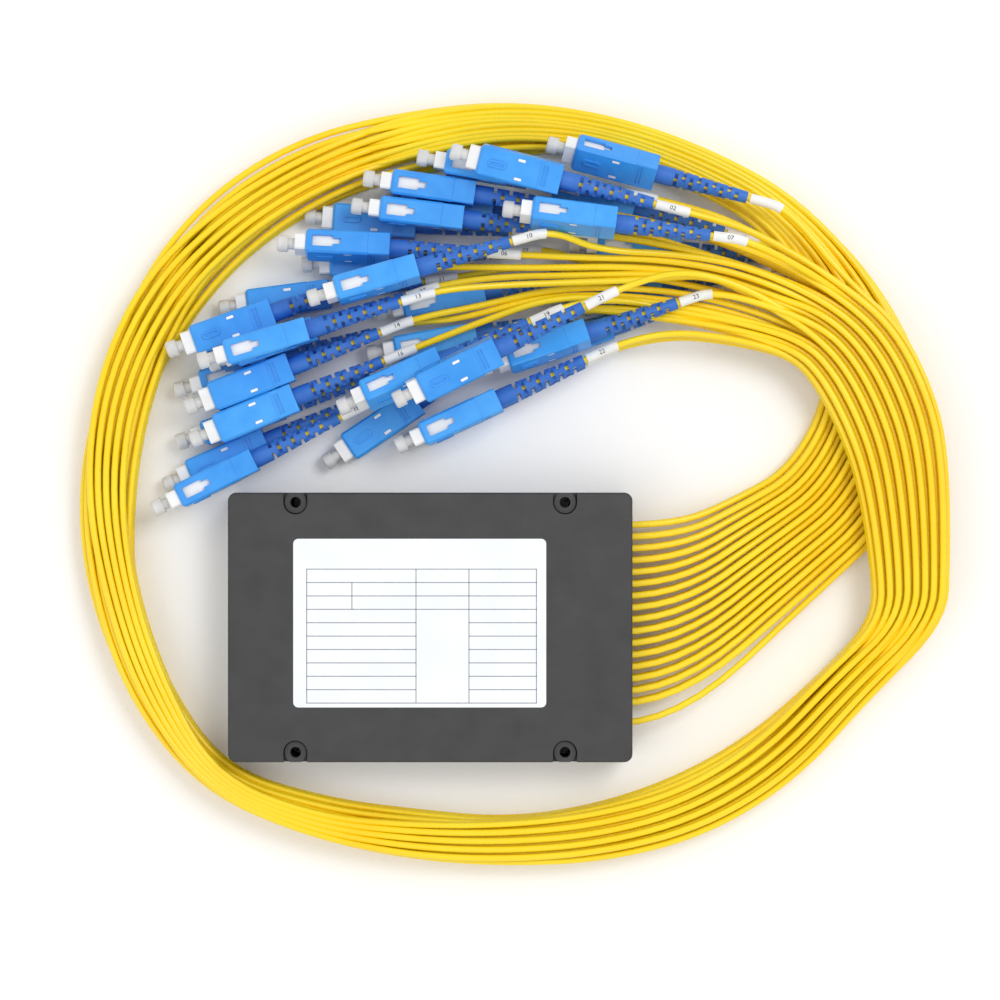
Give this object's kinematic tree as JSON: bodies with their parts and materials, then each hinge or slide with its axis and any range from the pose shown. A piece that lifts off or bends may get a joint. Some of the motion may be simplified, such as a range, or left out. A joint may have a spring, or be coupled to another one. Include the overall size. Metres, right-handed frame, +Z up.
{
  "type": "plc fibre splitter",
  "caption": "Flat boxed planar fibre splitter with screw notches, a ruled label, a loose coil of thin yellow leads and a heap of blue SC connectors with dust caps.",
  "frame": {"origin": "centre of the box's underside", "axes": "+X points to the lead exits, +Y across the box towards the heap of connectors, +Z up"},
  "size_m": [0.263, 0.2341, 0.0352],
  "materials": {
    "dark_abs": "fine textured dark grey moulded plastic",
    "label_paper": "coated white label stock",
    "comb_plastic": "dark moulded plastic",
    "steel": "drawn stainless tube",
    "rubber_plug": "soft sealing rubber",
    "silica": "ground silica glass, opaque faces",
    "fibre_ribbon": "coated fibre",
    "foam_pad": "foam tape",
    "yellow_jacket": "smooth yellow cable jacket",
    "white_plastic": "white moulded plastic",
    "zirconia": "polished zirconia",
    "cap_plastic": "milky translucent plastic",
    "nickel_plate": "nickel plated brass",
    "boot_rubber": "soft blue moulded rubber",
    "sleeve_plastic": "white number sleeve",
    "grip_blue": "bright blue moulded plastic"
  },
  "bodies": {
    "splitter": {"base_shell": "dark_abs", "lid": "dark_abs", "spec_label": "label_paper", "exit_comb": "comb_plastic", "splitter_sleeve": "steel", "sleeve_end_plugs": "rubber_plug", "plc_chip": "silica", "input_fibre_block": "silica", "output_fibre_block": "silica", "output_ribbons": "fibre_ribbon", "input_fibre": "fibre_ribbon", "adhesive_pad": "foam_pad", "lead_coil": "yellow_jacket", "return_strand": "yellow_jacket", "output_lead_fan": "yellow_jacket", "input_lead": "yellow_jacket", "output_lead_tails": "yellow_jacket", "plug_frames": "white_plastic", "ferrules": "zirconia", "dust_caps": "cap_plastic", "crimp_bodies": "nickel_plate", "crimp_rings": "nickel_plate", "boots": "boot_rubber", "number_sleeves": "sleeve_plastic"},
    "grip_01": {"grip_01": "grip_blue"},
    "grip_02": {"grip_02": "grip_blue"},
    "grip_03": {"grip_03": "grip_blue"},
    "grip_04": {"grip_04": "grip_blue"},
    "grip_05": {"grip_05": "grip_blue"},
    "grip_06": {"grip_06": "grip_blue"},
    "grip_07": {"grip_07": "grip_blue"},
    "grip_08": {"grip_08": "grip_blue"},
    "grip_09": {"grip_09": "grip_blue"},
    "grip_10": {"grip_10": "grip_blue"},
    "grip_11": {"grip_11": "grip_blue"},
    "grip_12": {"grip_12": "grip_blue"},
    "grip_13": {"grip_13": "grip_blue"},
    "grip_14": {"grip_14": "grip_blue"},
    "grip_15": {"grip_15": "grip_blue"},
    "grip_16": {"grip_16": "grip_blue"},
    "grip_17": {"grip_17": "grip_blue"},
    "grip_18": {"grip_18": "grip_blue"},
    "grip_19": {"grip_19": "grip_blue"},
    "grip_20": {"grip_20": "grip_blue"},
    "grip_21": {"grip_21": "grip_blue"},
    "grip_22": {"grip_22": "grip_blue"},
    "grip_23": {"grip_23": "grip_blue"},
    "grip_24": {"grip_24": "grip_blue"},
    "grip_25": {"grip_25": "grip_blue"},
    "grip_26": {"grip_26": "grip_blue"},
    "grip_27": {"grip_27": "grip_blue"},
    "grip_28": {"grip_28": "grip_blue"},
    "grip_29": {"grip_29": "grip_blue"},
    "grip_30": {"grip_30": "grip_blue"},
    "grip_31": {"grip_31": "grip_blue"},
    "grip_32": {"grip_32": "grip_blue"},
    "grip_33": {"grip_33": "grip_blue"}
  },
  "joints": [
    {"name": "grip_01_slide", "type": "slide", "parent": "splitter", "child": "grip_01", "axis": [0.9659, -0.2588, 0], "range_m": [0, 0.0016]},
    {"name": "grip_02_slide", "type": "slide", "parent": "splitter", "child": "grip_02", "axis": [0.9848, -0.1736, 0], "range_m": [0, 0.0016]},
    {"name": "grip_03_slide", "type": "slide", "parent": "splitter", "child": "grip_03", "axis": [0.9681, -0.2504, 0], "range_m": [0, 0.0016]},
    {"name": "grip_04_slide", "type": "slide", "parent": "splitter", "child": "grip_04", "axis": [0.9898, -0.1426, 0], "range_m": [0, 0.0016]},
    {"name": "grip_05_slide", "type": "slide", "parent": "splitter", "child": "grip_05", "axis": [0.9976, -0.0698, 0], "range_m": [0, 0.0016]},
    {"name": "grip_06_slide", "type": "slide", "parent": "splitter", "child": "grip_06", "axis": [0.9932, -0.1167, 0], "range_m": [0, 0.0016]},
    {"name": "grip_07_slide", "type": "slide", "parent": "splitter", "child": "grip_07", "axis": [0.9989, -0.0471, 0], "range_m": [0, 0.0016]},
    {"name": "grip_08_slide", "type": "slide", "parent": "splitter", "child": "grip_08", "axis": [0.9917, -0.1288, 0], "range_m": [0, 0.0016]},
    {"name": "grip_09_slide", "type": "slide", "parent": "splitter", "child": "grip_09", "axis": [0.9636, -0.2672, 0], "range_m": [0, 0.0016]},
    {"name": "grip_10_slide", "type": "slide", "parent": "splitter", "child": "grip_10", "axis": [0.9981, 0.061, 0], "range_m": [0, 0.0016]},
    {"name": "grip_11_slide", "type": "slide", "parent": "splitter", "child": "grip_11", "axis": [0.9622, 0.2723, 0], "range_m": [0, 0.0016]},
    {"name": "grip_12_slide", "type": "slide", "parent": "splitter", "child": "grip_12", "axis": [0.9912, 0.1323, 0], "range_m": [0, 0.0016]},
    {"name": "grip_13_slide", "type": "slide", "parent": "splitter", "child": "grip_13", "axis": [0.9426, 0.3338, 0], "range_m": [0, 0.0016]},
    {"name": "grip_14_slide", "type": "slide", "parent": "splitter", "child": "grip_14", "axis": [0.9588, 0.284, 0], "range_m": [0, 0.0016]},
    {"name": "grip_15_slide", "type": "slide", "parent": "splitter", "child": "grip_15", "axis": [0.9323, 0.3616, 0], "range_m": [0, 0.0016]},
    {"name": "grip_16_slide", "type": "slide", "parent": "splitter", "child": "grip_16", "axis": [0.9603, 0.279, 0], "range_m": [0, 0.0016]},
    {"name": "grip_17_slide", "type": "slide", "parent": "splitter", "child": "grip_17", "axis": [0.9245, 0.3811, 0], "range_m": [0, 0.0016]},
    {"name": "grip_18_slide", "type": "slide", "parent": "splitter", "child": "grip_18", "axis": [0.9171, 0.3987, 0], "range_m": [0, 0.0016]},
    {"name": "grip_19_slide", "type": "slide", "parent": "splitter", "child": "grip_19", "axis": [0.8965, 0.4431, 0], "range_m": [0, 0.0016]},
    {"name": "grip_20_slide", "type": "slide", "parent": "splitter", "child": "grip_20", "axis": [0.9121, 0.4099, 0], "range_m": [0, 0.0016]},
    {"name": "grip_21_slide", "type": "slide", "parent": "splitter", "child": "grip_21", "axis": [0.832, 0.5548, 0], "range_m": [0, 0.0016]},
    {"name": "grip_22_slide", "type": "slide", "parent": "splitter", "child": "grip_22", "axis": [0.8949, 0.4462, 0], "range_m": [0, 0.0016]},
    {"name": "grip_23_slide", "type": "slide", "parent": "splitter", "child": "grip_23", "axis": [0.9085, 0.4179, 0], "range_m": [0, 0.0016]},
    {"name": "grip_24_slide", "type": "slide", "parent": "splitter", "child": "grip_24", "axis": [0.9489, 0.3156, 0], "range_m": [0, 0.0016]},
    {"name": "grip_25_slide", "type": "slide", "parent": "splitter", "child": "grip_25", "axis": [0.981, 0.1942, 0], "range_m": [0, 0.0016]},
    {"name": "grip_26_slide", "type": "slide", "parent": "splitter", "child": "grip_26", "axis": [0.9842, 0.1771, 0], "range_m": [0, 0.0016]},
    {"name": "grip_27_slide", "type": "slide", "parent": "splitter", "child": "grip_27", "axis": [0.9925, 0.1219, 0], "range_m": [0, 0.0016]},
    {"name": "grip_28_slide", "type": "slide", "parent": "splitter", "child": "grip_28", "axis": [0.9455, 0.3256, 0], "range_m": [0, 0.0016]},
    {"name": "grip_29_slide", "type": "slide", "parent": "splitter", "child": "grip_29", "axis": [0.998, -0.0628, 0], "range_m": [0, 0.0016]},
    {"name": "grip_30_slide", "type": "slide", "parent": "splitter", "child": "grip_30", "axis": [0.9489, 0.3156, 0], "range_m": [0, 0.0016]},
    {"name": "grip_31_slide", "type": "slide", "parent": "splitter", "child": "grip_31", "axis": [0.9121, 0.4099, 0], "range_m": [0, 0.0016]},
    {"name": "grip_32_slide", "type": "slide", "parent": "splitter", "child": "grip_32", "axis": [0.9903, -0.1392, 0], "range_m": [0, 0.0016]},
    {"name": "grip_33_slide", "type": "slide", "parent": "splitter", "child": "grip_33", "axis": [0.9483, 0.3173, 0], "range_m": [0, 0.0016]}
  ]
}
